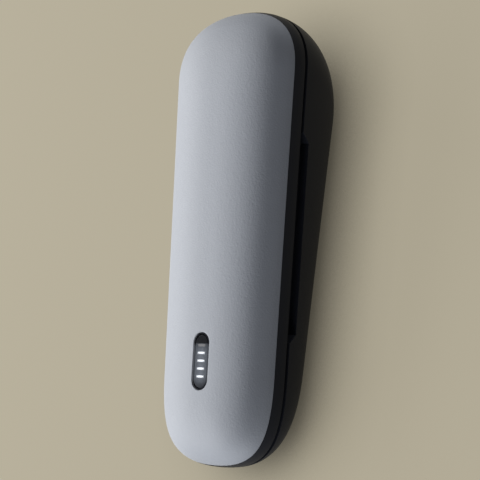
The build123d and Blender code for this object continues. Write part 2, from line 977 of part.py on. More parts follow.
def make_all():
    nodes = {
        "lid_skin": make_lid_skin(),
        "lid_frame": make_lid_frame(),
        "lid_liner": make_lid_liner(),
        "lid_pads": make_lid_pads(),
        "lid_magnets": magnets(liner_top(), -1),
        "liner_screws": make_liner_screws(),
        "display_bezel": make_display_bezel(),
        "display_button": make_display_button(),
        "charge_bars": [bar(x) for x in bar_xs()[:-1]],
        "charge_bar_spare": bar(bar_xs()[-1]),
        "display_board": make_display_board(),
        "display_board_screws": make_board_screws(),
        "display_leds": make_display_leds(),
        "switch_body": make_switch_body(),
        "switch_plunger": make_switch_plunger(),
        "base_shell": make_base_shell(),
        "cradle": make_cradle(),
        "cradle_pads": make_cradle_pads(),
        "base_magnets": magnets(-shadow_gap, 1),
        "cradle_screws": make_cradle_screws(),
        "hinge_pin_foot": hinge_pin(hinge_centres()[0]),
        "hinge_pin_head": hinge_pin(hinge_centres()[1]),
        "battery_cell": make_battery_cell(),
        "battery_leads": make_battery_leads(),
        "charge_board": make_charge_board(),
        "charge_board_parts": make_board_parts(),
        "contact_block": make_contact_block(),
        "contact_pin_left": make_contact_pin(-1),
        "contact_pin_right": make_contact_pin(1),
        "contact_spring_left": make_contact_spring(-1),
        "contact_spring_right": make_contact_spring(1),
        "inlet_socket": make_inlet_socket(),
        "inlet_prongs": make_inlet_prongs(),
    }
    return nodes


def as_compound(shape):
    shapes = shape if isinstance(shape, list) else [shape]
    solids = [solid for piece in shapes for solid in piece.solids()]
    return Compound(children=solids)


def laid_on_back(nodes):
    # Turn the case so that its back lies flat, then put the middle of its footprint at the origin
    turn = Rot(0, -tilt, 0)
    turned = {name: turn * shape for name, shape in nodes.items()}
    box = Compound(children=[copy_of(shape) for shape in turned.values()]).bounding_box()
    shift = Pos(-box.center().X, -box.center().Y, -box.min.Z)
    return {name: shift * shape for name, shape in turned.items()}, shift * turn


def copy_of(shape):
    return Pos(0, 0, 0) * shape


def report(place):
    # Where the joints and openings lie in the finished frame
    def point(x, y, z):
        return tuple(round(value, 3) for value in (place * Pos(x, y, z)).position)

    def direction(x, y, z):
        start = (place * Pos(0, 0, 0)).position
        end = (place * Pos(x, y, z)).position
        return tuple(round(value, 6) for value in (end - start))

    hinge = on_hinge(0).position
    print("hinge at", point(*hinge), "along", direction(cos(atan(side_slope)), sin(atan(side_slope)), 0))
    print("down", direction(0, 0, -1), "towards foot", direction(-1, 0, 0))
    print("case origin at", point(0, 0, 0), "tilt", round(tilt, 4))
    print("inlet at", point(-length / 2, 0, inlet_height))


def main():
    os.makedirs("parts", exist_ok=True)
    nodes = {name: as_compound(shape) for name, shape in make_all().items()}
    nodes, place = laid_on_back(nodes)
    for name, shape in nodes.items():
        shape.label = name
        export_step(shape, f"parts/{name}.step")
    report(place)


main()
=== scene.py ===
import bpy
import json
import numpy as np
from math import acos, asin, atan2, cos, pi, radians, sin
from mathutils import Matrix, Vector


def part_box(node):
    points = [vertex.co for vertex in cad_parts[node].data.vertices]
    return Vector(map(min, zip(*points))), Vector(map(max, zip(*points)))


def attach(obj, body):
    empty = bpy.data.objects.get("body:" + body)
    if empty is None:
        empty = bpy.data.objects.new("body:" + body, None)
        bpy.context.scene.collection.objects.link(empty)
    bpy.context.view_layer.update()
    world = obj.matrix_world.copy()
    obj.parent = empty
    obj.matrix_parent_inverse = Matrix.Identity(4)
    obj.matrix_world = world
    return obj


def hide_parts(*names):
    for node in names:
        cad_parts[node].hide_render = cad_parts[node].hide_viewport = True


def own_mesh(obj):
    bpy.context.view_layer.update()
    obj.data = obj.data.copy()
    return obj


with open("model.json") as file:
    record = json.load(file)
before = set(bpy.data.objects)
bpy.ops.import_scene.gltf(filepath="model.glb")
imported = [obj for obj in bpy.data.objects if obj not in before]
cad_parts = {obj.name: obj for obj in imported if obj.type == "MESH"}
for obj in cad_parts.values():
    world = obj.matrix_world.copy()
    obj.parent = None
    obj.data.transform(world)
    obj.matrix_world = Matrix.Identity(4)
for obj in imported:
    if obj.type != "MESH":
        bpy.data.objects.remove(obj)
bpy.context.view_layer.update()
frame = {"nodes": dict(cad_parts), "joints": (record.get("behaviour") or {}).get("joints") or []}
nodes = frame["nodes"]
joints = {joint["name"]: joint for joint in frame["joints"]}

# The case lies on its back: +X is the head end, +Y the hinge side. Shapes are worked out with the
# parting plane level, then laid down as the frame has them.

caseShape = {
    "length": 0.208,
    "width": 0.071,          # at mid length
    "widening": 0.0072,      # head end over foot end
    "headRun": 0.0295,       # how much of the length the corners take up
    "footRun": 0.040,
    "headFullness": 2.32,    # power of the superellipse that a corner follows
    "footFullness": 2.82,
    "hingeOut": 0.0008,      # hinge axis outside the side
    "gap": 0.0018,           # between the lid and the base
    "cornerSteps": 26,       # of the mesh, round a corner and along a side
    "sideSteps": 34,
}

camera = {
    "lens": 123.17,
    "sensor": 36,
    "nearest": 0.01,
    "place": (-0.1309, -0.5162, 0.5604),
    "back": (-0.17356, -0.68461, 0.70795),
    "up": (0.97677, -0.02795, 0.21243),
}


def setCamera():
    back = Vector(camera["back"]).normalized()
    right = Vector(camera["up"]).cross(back).normalized()
    up = back.cross(right)
    turn = Matrix((right, up, back)).transposed().to_4x4()
    data = bpy.data.cameras.new("photoCamera")
    data.lens = camera["lens"]
    data.sensor_width = camera["sensor"]
    data.clip_start = camera["nearest"]
    eye = bpy.data.objects.new("photoCamera", data)
    eye.matrix_world = Matrix.Translation(camera["place"]) @ turn
    bpy.context.scene.collection.objects.link(eye)
    bpy.context.scene.camera = eye
    print("camera set")


setCamera()


def caseToFrame():
    # From the level case to the frame, read off the hinge
    hinge = joints["lid_hinge"]
    axis = -Vector(hinge["axis"])
    tilt = atan2(axis.z, axis.x)
    turn = Matrix.Rotation(-tilt, 4, "Y")
    own = Vector((0, caseShape["width"] / 2 + caseShape["hingeOut"], -caseShape["gap"] / 2))
    return Matrix.Translation(Vector(hinge["pos_m"]) - turn @ own) @ turn


layDown = caseToFrame()


# Outlines of the case in plan

def bezierQuarter(fullness):
    # Length of a corner's Bezier handles, so that its middle lies on the superellipse
    return (8 * 2 ** (-1 / fullness) - 4) / 3


def halfWidth(x):
    return caseShape["width"] / 2 + caseShape["widening"] / (2 * caseShape["length"]) * x


def ringCorners(inset, share, drawn):
    # Start, run and tip of the head corner and of the foot corner
    headTip = caseShape["length"] / 2 - inset - drawn[0]
    footTip = -caseShape["length"] / 2 + inset + drawn[1]
    headRun = caseShape["headRun"] * share
    footRun = caseShape["footRun"] * share
    return (headTip - headRun, headRun, headTip), (footTip + footRun, -footRun, footTip)


def cornerPoints(corner, fullness, half, t):
    start, run, tip = corner
    pull = bezierQuarter(fullness)
    near = start + run * pull
    a, b, c, d = (1 - t) ** 3, 3 * (1 - t) ** 2 * t, 3 * (1 - t) * t ** 2, t ** 3
    x = a * start + b * near + c * tip + d * tip
    y = a * half(start) + b * half(near) + c * pull * half(tip)
    return x, y


def outline(inset, share, drawn):
    # Plan outline from the head tip round by the hinge side, as an array of x and y
    def half(x):
        return (halfWidth(x) - inset) * share

    head, foot = ringCorners(inset, share, drawn)
    t = np.linspace(0, 1, caseShape["cornerSteps"] + 1)
    headX, headY = cornerPoints(head, caseShape["headFullness"], half, t)
    footX, footY = cornerPoints(foot, caseShape["footFullness"], half, t)
    sideX = np.linspace(head[0], foot[0], caseShape["sideSteps"] + 1)[1:-1]
    upX = np.concatenate([headX[::-1], sideX, footX])
    upY = np.concatenate([headY[::-1], half(sideX), footY])
    x = np.concatenate([upX, upX[::-1][1:-1]])
    y = np.concatenate([upY, -upY[::-1][1:-1]])
    return np.stack([x, y], 1)


# Lid crown: outlines that shrink as they rise

lidShape = {
    "height": 0.0185,
    "fullness": 2.4,
    "headRun": 0.0405,       # how far the crown draws the tips in
    "footRun": 0.0305,
    "rim": 0.0056,           # dark frame under the skin
    "skin": 0.0016,          # its thickness
    "angleHalvings": 30,     # fineness of the search for a height, and for a half width
    "cornerHalvings": 24,
}


def crownLevel(wall, angle):
    # Share of the width, draw of both tips and height of one outline
    power = 2 / lidShape["fullness"]
    share = np.cos(angle) ** power
    drawn = (lidShape["headRun"] * (1 - share), lidShape["footRun"] * (1 - share))
    return share, drawn, (lidShape["height"] - wall) * np.sin(angle) ** power


def crownAngle(wall, rise):
    return asin((rise / (lidShape["height"] - wall)) ** (lidShape["fullness"] / 2))


def crownRing(wall, angle):
    share, drawn, rise = crownLevel(wall, angle)
    flat = outline(wall, share, drawn)
    return np.column_stack([flat, np.full(len(flat), rise)])


def ringReach(x, inset, share, drawn):
    # Half width of the outline at x, also round its corners
    def half(at):
        return (halfWidth(at) - inset) * share

    head, foot = ringCorners(inset, share, drawn)
    reach = half(x)
    for corner, fullness, sign in (
        (head, caseShape["headFullness"], 1),
        (foot, caseShape["footFullness"], -1),
    ):
        low, high = np.zeros(len(x)), np.ones(len(x))
        for _ in range(lidShape["cornerHalvings"]):
            t = (low + high) / 2
            cornerX, _ = cornerPoints(corner, fullness, half, t)
            before = sign * cornerX < sign * x
            low = np.where(before, t, low)
            high = np.where(before, high, t)
        _, cornerY = cornerPoints(corner, fullness, half, low)
        reach = np.where(sign * x > sign * corner[0], cornerY, reach)
        reach = np.where(sign * x > sign * corner[2], -1.0, reach)
    return reach


def crownHeight(flat, wall):
    # Height of the crown over plan points, by halving the angle until the ring meets the point
    x, y = flat[:, 0], np.abs(flat[:, 1])
    low, high = np.zeros(len(x)), np.full(len(x), pi / 2)
    for _ in range(lidShape["angleHalvings"]):
        angle = (low + high) / 2
        share, drawn, _ = crownLevel(wall, angle)
        inside = y < ringReach(x, wall, share, drawn)
        low = np.where(inside, angle, low)
        high = np.where(inside, high, angle)
    return crownLevel(wall, low)[2]


# Mesh helpers

def meshObject(name, points, faces, body):
    mesh = bpy.data.meshes.new(name)
    mesh.from_pydata([tuple(layDown @ Vector(p)) for p in points], [], faces)
    mesh.update()
    mesh.polygons.foreach_set("use_smooth", [True] * len(mesh.polygons))
    piece = bpy.data.objects.new(name, mesh)
    bpy.context.scene.collection.objects.link(piece)
    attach(piece, body)
    return piece


def ringFaces(rings, closed):
    # Quads between rings of equal count; closed joins the last ring to the first
    count = len(rings[0])
    faces = []
    for k in range(len(rings) if closed else len(rings) - 1):
        a, b = k * count, ((k + 1) % len(rings)) * count
        for i in range(count):
            j = (i + 1) % count
            faces.append((a + i, a + j, b + j, b + i))
    return faces


def endFaces(rings):
    # One face over the first ring and one over the last
    count, last = len(rings[0]), (len(rings) - 1) * len(rings[0])
    return [tuple(range(count))[::-1], tuple(last + i for i in range(count))]


# Lid skin: a crowned cover with a rolled edge and a pill-shaped hole with a rolled lip

windowShape = {
    "x": -0.0573,            # middle of the hole
    "length": 0.0258,
    "width": 0.0095,
    "lip": 0.00035,          # radius of the roll
}

skinShape = {
    "edgeRound": 0.0004,     # radius of the lower edge's roll
    "rollTurns": (30, 60, 90),
    "outerRings": 18,
    "innerRings": 44,
    "innerPower": 1.7,       # how they crowd towards the window
    "handOver": 0.80,        # share of the width where the rings turn to the window's outline
}


def windowOutline(grow, count):
    # Points of the pill outline, evenly spaced from its head tip round by the hinge side
    radius = windowShape["width"] / 2 + grow
    straight = windowShape["length"] - windowShape["width"]
    around = 2 * pi * radius + 2 * straight
    arc = pi * radius / 2
    points = []
    for step in range(count):
        s = around * step / count
        if s < arc:
            a = s / radius
            points.append((straight / 2 + radius * cos(a), radius * sin(a)))
        elif s < arc + straight:
            points.append((straight / 2 - (s - arc), radius))
        elif s < 3 * arc + straight:
            a = pi / 2 + (s - arc - straight) / radius
            points.append((-straight / 2 + radius * cos(a), radius * sin(a)))
        elif s < 3 * arc + 2 * straight:
            points.append((-straight / 2 + (s - 3 * arc - straight), -radius))
        else:
            a = -pi / 2 + (s - 3 * arc - 2 * straight) / radius
            points.append((straight / 2 + radius * cos(a), radius * sin(a)))
    return np.array(points) + np.array((windowShape["x"], 0))


def surfaceRings(wall, lowest, lip):
    # From the lower edge up over the crown to the window, on one face of the skin
    first = crownAngle(wall, lowest)
    last = acos(skinShape["handOver"] ** (lidShape["fullness"] / 2))
    rings = [crownRing(wall, a) for a in np.linspace(first, last, skinShape["outerRings"])]
    outer = rings[-1][:, :2]
    inner = windowOutline(lip, len(outer))
    for step in range(1, skinShape["innerRings"] + 1):
        go = 1 - (1 - step / skinShape["innerRings"]) ** skinShape["innerPower"]
        flat = outer * (1 - go) + inner * go
        rings.append(np.column_stack([flat, crownHeight(flat, wall)]))
    return rings


def makeSkin():
    rim, edge, lip = lidShape["rim"], skinShape["edgeRound"], windowShape["lip"]
    turns = [radians(turn) for turn in skinShape["rollTurns"]]
    outer = surfaceRings(0, rim + edge, lip)
    inner = surfaceRings(lidShape["skin"], rim, 0)
    count = len(outer[0])
    side = outline(0, 1, (0, 0))
    low = crownRing(0, crownAngle(0, rim))[:, :2]
    rings = []
    for turn in turns[::-1]:       # rolled lower edge
        flat = low - (side - outline(edge * (1 - cos(turn)), 1, (0, 0)))
        rings.append(np.column_stack([flat, np.full(count, rim + edge * (1 - sin(turn)))]))
    rings += outer
    top = outer[-1][:, 2]
    for turn in turns:             # rolled lip of the window
        flat = windowOutline(lip * (1 - sin(turn)), count)
        rings.append(np.column_stack([flat, top - lip * (1 - cos(turn))]))
    rings += inner[::-1]
    points = np.concatenate(rings)
    skin = meshObject("lidSkin", points, ringFaces(rings, True), "lid")
    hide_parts("lid_skin")
    return skin


# Soft pads: foam cut to a rounded rectangle, crowned, with rolled edges

padShape = {
    "length": 0.026,
    "width": 0.010,
    "corner": 0.003,
    "thickness": 0.0012,
    "rolled": 0.0005,        # radius of the face's edge
    "crown": 0.00018,        # middle of the face over its edge
    "cradleSlope": 0.0600,   # fall of the cradle's floor per length
    "cornerSteps": 7,
    "longSteps": 9,          # along the length
    "shortSteps": 4,
    "rollTurns": (22.5, 45, 67.5, 90),
    "faceSteps": (0.15, 0.32, 0.5, 0.68, 0.84, 0.95),
    "places": {
        # middle of the glued face in the level case, body, node and way that the pad faces
        "cradlePadFoot": ((-0.050001, 0, -0.016751), "base", "cradle_pads", 1),
        "cradlePadHead": ((0.039999, 0, -0.022160), "base", "cradle_pads", 1),
        "lidPadFoot": ((-0.050, 0, 0.011106), "lid", "lid_pads", -1),
        "lidPadHead": ((0.040, 0, 0.011106), "lid", "lid_pads", -1),
    },
}


def roundedRectangle(length, width, corner):
    # Outline of the pad, anticlockwise from its head side
    points = []
    for turn, (sx, sy) in enumerate(((1, 1), (-1, 1), (-1, -1), (1, -1))):
        middle = (sx * (length / 2 - corner), sy * (width / 2 - corner))
        for step in range(padShape["cornerSteps"] + 1):
            angle = (turn + step / padShape["cornerSteps"]) * pi / 2
            points.append((middle[0] + corner * cos(angle), middle[1] + corner * sin(angle)))
        along = turn % 2 == 0
        count = padShape["longSteps"] if along else padShape["shortSteps"]
        run = (length if along else width) - 2 * corner
        way = (turn + 2) * pi / 2
        start = points[-1]
        for step in range(1, count):
            go = run * step / count
            points.append((start[0] + go * cos(way), start[1] + go * sin(way)))
    return np.array(points)


def padRings():
    # Level rings from the glued face up the side, round the edge and in over the crown
    length, width, corner = padShape["length"], padShape["width"], padShape["corner"]
    thick, rolled, crown = padShape["thickness"], padShape["rolled"], padShape["crown"]
    shoulder = thick - crown - rolled
    levels = [(0, 0), (0, shoulder / 2), (0, shoulder)]
    for turn in padShape["rollTurns"]:
        levels.append((rolled * (1 - cos(radians(turn))), shoulder + rolled * sin(radians(turn))))
    rings = []
    for inset, rise in levels:
        ring = roundedRectangle(length - 2 * inset, width - 2 * inset, corner - inset)
        rings.append(np.column_stack([ring, np.full(len(ring), rise)]))
    x, y = rings[-1][:, 0], rings[-1][:, 1]
    spine = np.clip(x, (width - length) / 2, (length - width) / 2)
    for go in padShape["faceSteps"]:
        rise = np.full(len(x), thick - crown * (1 - go) ** 2)
        rings.append(np.column_stack([x * (1 - go) + spine * go, y * (1 - go), rise]))
    return rings


def makePads():
    rings = padRings()
    faces = ringFaces(rings, False) + endFaces(rings)
    pads = []
    for name, (middle, body, node, way) in padShape["places"].items():
        slope = padShape["cradleSlope"] if way > 0 else 0
        turn = Matrix.Rotation(atan2(slope, 1), 4, "Y")
        flip = Matrix.Rotation(0 if way > 0 else pi, 4, "X")
        points = [Vector(middle) + turn @ flip @ Vector(p) for ring in rings for p in ring]
        pad = meshObject(name, points, faces, body)
        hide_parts(node)
        pads.append(pad)
    print("pads made")
    return pads


# Contact springs: round wire with closed ends, coiled to fill each spring's part

springShape = {
    "wire": 0.0004,
    "openTurns": 3,
    "closedTurn": 0.75,      # flat part of a turn at each end
    "stepsPerTurn": 28,
    "sides": 10,             # of the wire
    "places": {
        # node and the joint that squeezes it
        "contactSpringLeft": ("contact_spring_left", "contact_pin_left_press"),
        "contactSpringRight": ("contact_spring_right", "contact_pin_right_press"),
    },
}


def springRings(low, high):
    # Rings of wire along the coil, which runs from the foot side towards the head
    wire, turns, closed = springShape["wire"], springShape["openTurns"], springShape["closedTurn"]
    radius = (high[1] - low[1] - wire) / 2
    middle = (low + high) / 2
    pitch = (high[0] - low[0] - wire - 2 * closed * wire) / turns
    knots = [0, closed, closed + turns, 2 * closed + turns]
    rises = [0, closed * wire, closed * wire + turns * pitch, 2 * closed * wire + turns * pitch]
    around = np.linspace(0, 2 * pi, springShape["sides"], endpoint=False)
    steps = int(knots[-1] * springShape["stepsPerTurn"])
    rings = []
    for u in np.linspace(0, knots[-1], steps + 1):
        a = 2 * pi * u
        out = np.array([0, cos(a), sin(a)])
        rate = wire if u < knots[1] or u > knots[2] else pitch
        along = np.array([rate / (2 * pi), -radius * sin(a), radius * cos(a)])
        across = np.cross(along / np.linalg.norm(along), out)
        place = middle + radius * out
        place[0] = low[0] + wire / 2 + np.interp(u, knots, rises)
        section = np.outer(np.cos(around), out) + np.outer(np.sin(around), across)
        rings.append(place + wire / 2 * section)
    return rings


def makeSprings():
    level = layDown.inverted()
    springs = []
    for name, (node, joint) in springShape["places"].items():
        own = np.array([level @ v.co for v in nodes[node].data.vertices])
        low, high = own.min(0), own.max(0)
        rings = springRings(low, high)
        faces = ringFaces(rings, False) + endFaces(rings)
        spring = meshObject(name, np.concatenate(rings), faces, "base")
        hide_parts(node)
        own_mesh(spring)
        springs.append(spring)
    print("springs made")
    return springs


# Materials

nodeSetting = {
    "noiseSpan": (0.3, 0.7),       # part of a noise's range that is spread
    "edgeSamples": 6,
    "plainSpecular": 0.5,
    "sheenRough": 0.5,
    "coatRough": 0.08,
}


def newMaterial(name):
    material = bpy.data.materials.new(name)
    material.use_nodes = True
    tree = material.node_tree
    return material, tree, tree.nodes["Principled BSDF"]


def noise(tree, scale, detail, rough=0.5, squeeze=None):
    # Noise in the object's own metres, squeezed along an axis when asked
    place = tree.nodes.new("ShaderNodeTexCoord")
    source = place.outputs["Object"]
    if squeeze:
        mapping = tree.nodes.new("ShaderNodeMapping")
        mapping.inputs["Scale"].default_value = squeeze
        tree.links.new(source, mapping.inputs["Vector"])
        source = mapping.outputs["Vector"]
    grain = tree.nodes.new("ShaderNodeTexNoise")
    grain.inputs["Scale"].default_value = scale
    grain.inputs["Detail"].default_value = detail
    grain.inputs["Roughness"].default_value = rough
    tree.links.new(source, grain.inputs["Vector"])
    return grain.outputs["Fac"]


def cells(tree, scale):
    place = tree.nodes.new("ShaderNodeTexCoord")
    voronoi = tree.nodes.new("ShaderNodeTexVoronoi")
    voronoi.feature = "SMOOTH_F1"
    voronoi.inputs["Scale"].default_value = scale
    tree.links.new(place.outputs["Object"], voronoi.inputs["Vector"])
    return voronoi.outputs["Distance"]


def ramp(tree, source, low, high):
    # Spread a noise over two colours
    node = tree.nodes.new("ShaderNodeValToRGB")
    stops, span = node.color_ramp.elements, nodeSetting["noiseSpan"]
    for stop, place, colour in zip(stops, span, (low, high)):
        stop.position = place
        stop.color = (*colour, 1)
    tree.links.new(source, node.inputs["Fac"])
    return node.outputs["Color"]


def mapRange(tree, source, start, end, low, high, smooth=False):
    node = tree.nodes.new("ShaderNodeMapRange")
    if smooth:
        node.interpolation_type = "SMOOTHSTEP"
    node.inputs["From Min"].default_value = start
    node.inputs["From Max"].default_value = end
    node.inputs["To Min"].default_value = low
    node.inputs["To Max"].default_value = high
    tree.links.new(source, node.inputs["Value"])
    return node.outputs["Result"]


def spread(tree, source, low, high):
    # Spread a noise between two numbers
    return mapRange(tree, source, *nodeSetting["noiseSpan"], low, high)


def ease(tree, source, start, end, low=0.0, high=1.0):
    # Goes smoothly from low at start to high at end
    return mapRange(tree, source, start, end, low, high, smooth=True)


def scalar(tree, operation, *values):
    # One sum, product or the like of sockets and numbers
    node = tree.nodes.new("ShaderNodeMath")
    node.operation = operation
    for socket, value in zip(node.inputs, values):
        if isinstance(value, bpy.types.NodeSocket):
            tree.links.new(value, socket)
        else:
            socket.default_value = value
    return node.outputs[0]


def apart(tree, one, other):
    return scalar(tree, "ABSOLUTE", scalar(tree, "SUBTRACT", one, other))


def bump(tree, shader, source, depth):
    node = tree.nodes.new("ShaderNodeBump")
    node.inputs["Distance"].default_value = depth
    node.inputs["Strength"].default_value = 1.0
    tree.links.new(source, node.inputs["Height"])
    previous = shader.inputs["Normal"].links
    if previous:
        tree.links.new(previous[0].from_socket, node.inputs["Normal"])
    tree.links.new(node.outputs["Normal"], shader.inputs["Normal"])


def softEdge(tree, shader, radius):
    # Moulded edges are never quite sharp
    node = tree.nodes.new("ShaderNodeBevel")
    node.samples = nodeSetting["edgeSamples"]
    node.inputs["Radius"].default_value = radius
    tree.links.new(node.outputs["Normal"], shader.inputs["Normal"])


def emit(tree, shader, colour, strength):
    shader.inputs["Emission Color"].default_value = (*colour, 1)
    tree.links.new(strength, shader.inputs["Emission Strength"])


def moulded(name, look):
    # Moulded plastic or rubber: fine grain, faint mottling, uneven gloss
    material, tree, shader = newMaterial(name)
    mottle = noise(tree, look["mottleScale"], detail=3)
    tree.links.new(ramp(tree, mottle, look["dark"], look["light"]), shader.inputs["Base Color"])
    grain = noise(tree, look["grainScale"], detail=4, rough=0.6)
    tree.links.new(spread(tree, grain, *look["rough"]), shader.inputs["Roughness"])
    if "edge" in look:
        softEdge(tree, shader, look["edge"])
    bump(tree, shader, grain, look["grainDepth"])
    specular = look.get("specular", nodeSetting["plainSpecular"])
    shader.inputs["Specular IOR Level"].default_value = specular
    if "sheen" in look:
        shader.inputs["Sheen Weight"].default_value = look["sheen"]
        shader.inputs["Sheen Roughness"].default_value = nodeSetting["sheenRough"]
    if "coat" in look:
        shader.inputs["Coat Weight"].default_value = look["coat"]
        shader.inputs["Coat Roughness"].default_value = nodeSetting["coatRough"]
    return material


skinLook = {
    "dark": (0.425, 0.448, 0.492),
    "light": (0.435, 0.458, 0.502),
    "mottleScale": 400,
    "pebbleScale": 1500,
    "pebbleDepth": 0.00007,
    "creaseScale": 420,
    "creaseDepth": 0.000045,
    "fineScale": 5000,
    "fineDepth": 0.00002,
    "rough": (0.50, 0.62),
    "specular": 0.4,
    "sheen": 0.08,
    "sheenRough": 0.4,
}


def softTouchSkin():
    # Soft-touch cover with a very fine pebbled grain
    material, tree, shader = newMaterial("softTouchSkin")
    mottle = noise(tree, skinLook["mottleScale"], detail=4)
    colour = ramp(tree, mottle, skinLook["dark"], skinLook["light"])
    tree.links.new(colour, shader.inputs["Base Color"])
    pebble = cells(tree, skinLook["pebbleScale"])
    fine = noise(tree, skinLook["fineScale"], detail=3)
    tree.links.new(spread(tree, fine, *skinLook["rough"]), shader.inputs["Roughness"])
    crease = noise(tree, skinLook["creaseScale"], detail=3, rough=0.6)
    bump(tree, shader, crease, skinLook["creaseDepth"])
    bump(tree, shader, pebble, skinLook["pebbleDepth"])
    bump(tree, shader, fine, skinLook["fineDepth"])
    shader.inputs["Specular IOR Level"].default_value = skinLook["specular"]
    shader.inputs["Sheen Weight"].default_value = skinLook["sheen"]
    shader.inputs["Sheen Roughness"].default_value = skinLook["sheenRough"]
    return material


darkCaseLook = {
    "dark": (0.0220, 0.0245, 0.0330),
    "light": (0.0245, 0.0272, 0.0365),
    "mottleScale": 60,
    "grainScale": 5200,
    "grainDepth": 0.00002,
    "rough": (0.42, 0.56),
    "specular": 0.13,
    "edge": 0.0003,
}
trayLook = {
    "dark": (0.036, 0.039, 0.045),
    "light": (0.048, 0.051, 0.058),
    "mottleScale": 40,
    "grainScale": 2400,
    "grainDepth": 0.00004,
    "rough": (0.5, 0.68),
    "edge": 0.0004,
}
padLook = {
    "dark": (0.080, 0.084, 0.094),
    "light": (0.112, 0.117, 0.129),
    "mottleScale": 300,
    "grainScale": 1500,
    "grainDepth": 0.00009,
    "rough": (0.78, 0.95),
    "sheen": 0.3,
    "specular": 0.2,
}
bezelLook = {
    "dark": (0.009, 0.011, 0.017),
    "light": (0.012, 0.014, 0.021),
    "mottleScale": 120,
    "grainScale": 2400,
    "grainDepth": 0.000004,
    "rough": (0.16, 0.24),
    "specular": 0.12,
}
chipLook = {
    "dark": (0.012, 0.012, 0.013),
    "light": (0.02, 0.02, 0.022),
    "mottleScale": 300,
    "grainScale": 4000,
    "grainDepth": 0.00001,
    "rough": (0.4, 0.6),
}
boardLook = {
    "dark": (0.010, 0.055, 0.024),
    "light": (0.018, 0.085, 0.036),
    "mottleScale": 500,
    "grainScale": 1400,
    "grainDepth": 0.00001,
    "rough": (0.25, 0.4),
    "coat": 0.3,
}
plungerLook = {
    "dark": (0.30, 0.03, 0.02),
    "light": (0.36, 0.045, 0.03),
    "mottleScale": 200,
    "grainScale": 3000,
    "grainDepth": 0.00001,
    "rough": (0.35, 0.5),
}
leadLook = {
    "dark": (0.30, 0.016, 0.014),
    "light": (0.36, 0.022, 0.018),
    "mottleScale": 500,
    "grainScale": 2600,
    "grainDepth": 0.00002,
    "rough": (0.5, 0.66),
    "sheen": 0.15,
}


def metal(name, look):
    # Metal with fine drawn or brushed lines
    material, tree, shader = newMaterial(name)
    streaks = noise(tree, look["lineScale"], detail=3, rough=0.6, squeeze=look["squeeze"])
    tree.links.new(ramp(tree, streaks, look["dark"], look["light"]), shader.inputs["Base Color"])
    tree.links.new(spread(tree, streaks, *look["rough"]), shader.inputs["Roughness"])
    bump(tree, shader, streaks, look["lineDepth"])
    shader.inputs["Metallic"].default_value = 1.0
    return material


steelLook = {
    "dark": (0.40, 0.41, 0.43),
    "light": (0.58, 0.59, 0.61),
    "lineScale": 1800,
    "squeeze": (1, 1, 6),
    "lineDepth": 0.000006,
    "rough": (0.22, 0.38),
}
prongLook = {
    "dark": (0.56, 0.56, 0.57),
    "light": (0.70, 0.70, 0.71),
    "lineScale": 900,
    "squeeze": (0.2, 1, 1),
    "lineDepth": 0.000003,
    "rough": (0.12, 0.22),
}
goldLook = {
    "dark": (0.70, 0.48, 0.16),
    "light": (0.84, 0.62, 0.24),
    "lineScale": 900,
    "squeeze": (0.2, 1, 1),
    "lineDepth": 0.000003,
    "rough": (0.14, 0.26),
}
foilLook = {
    "dark": (0.50, 0.52, 0.55),
    "light": (0.62, 0.64, 0.67),
    "lineScale": 120,
    "squeeze": (1, 3, 1),
    "lineDepth": 0.00008,
    "rough": (0.3, 0.5),
}


# Charge display. Lengths run along the strip, towards the head end.

lensLook = {
    "dark": (0.006, 0.007, 0.010),
    "lighter": 1.4,          # mottling over the dark colour
    "mottleScale": 150,
    "grainScale": 6000,
    "grainDepth": 0.000001,
    "rough": (0.20, 0.27),
    "specular": 0.06,
    "glow": (0.78, 0.86, 1.0),
    "footLevel": 0.030,      # at the foot end of the strip
    "glowLevel": 0.155,      # beside the bars
    "fullFrom": 0.001,       # from the start of the bars
    "fadeFrom": -0.001,      # from the end of the lit bars
    "fadeTo": 0.0005,        # this and the next two from the end of the unlit bar
    "darkFrom": -0.0002,
    "darkTo": 0.0003,
    "fadeShare": 0.55,
    "sideShare": 0.72,
    "middleShare": 1.18,
    "patchScale": 900,
    "patch": (0.85, 1.1),
}


def placeInFrame(tree):
    place = tree.nodes.new("ShaderNodeTexCoord")
    split = tree.nodes.new("ShaderNodeSeparateXYZ")
    tree.links.new(place.outputs["Object"], split.inputs["Vector"])
    return split.outputs


def smokedLens():
    # Smoked satin strip, lit from within beside the bars and black above the unlit one
    look = lensLook
    material, tree, shader = newMaterial("smokedLens")
    grain = noise(tree, look["grainScale"], detail=3)
    mottle = noise(tree, look["mottleScale"], detail=2)
    patches = noise(tree, look["patchScale"], detail=2)
    light = tuple(look["lighter"] * value for value in look["dark"])
    tree.links.new(ramp(tree, mottle, look["dark"], light), shader.inputs["Base Color"])
    tree.links.new(spread(tree, grain, *look["rough"]), shader.inputs["Roughness"])
    bump(tree, shader, grain, look["grainDepth"])
    shader.inputs["Specular IOR Level"].default_value = look["specular"]
    low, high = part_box("display_button")
    bars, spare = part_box("charge_bars"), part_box("charge_bar_spare")[1].x
    along, across = placeInFrame(tree)[:2]
    full, fade = bars[0].x + look["fullFrom"], bars[1].x + look["fadeFrom"]
    centre = (low.y + high.y) / 2
    side = apart(tree, across, centre)
    shares = (
        ease(tree, along, spare + look["darkTo"], spare + look["darkFrom"]),
        ease(tree, along, spare + look["fadeTo"], fade, look["fadeShare"]),
        ease(tree, side, high.y - centre, 0, look["sideShare"], look["middleShare"]),
        spread(tree, patches, *look["patch"]),
    )
    glow = ease(tree, along, low.x, full, look["footLevel"], look["glowLevel"])
    for share in shares:
        glow = scalar(tree, "MULTIPLY", glow, share)
    emit(tree, shader, look["glow"], glow)
    return material


# Painted glow on the bezel ring beside the bars, which stands in for light spilling from the
# strip
spillLook = {
    "level": 0.055,
    "riseFrom": -0.003,      # from the start of the bars
    "fallFrom": -0.0015,     # this and the next from the end of the unlit bar
    "fallTo": 0.0003,
}


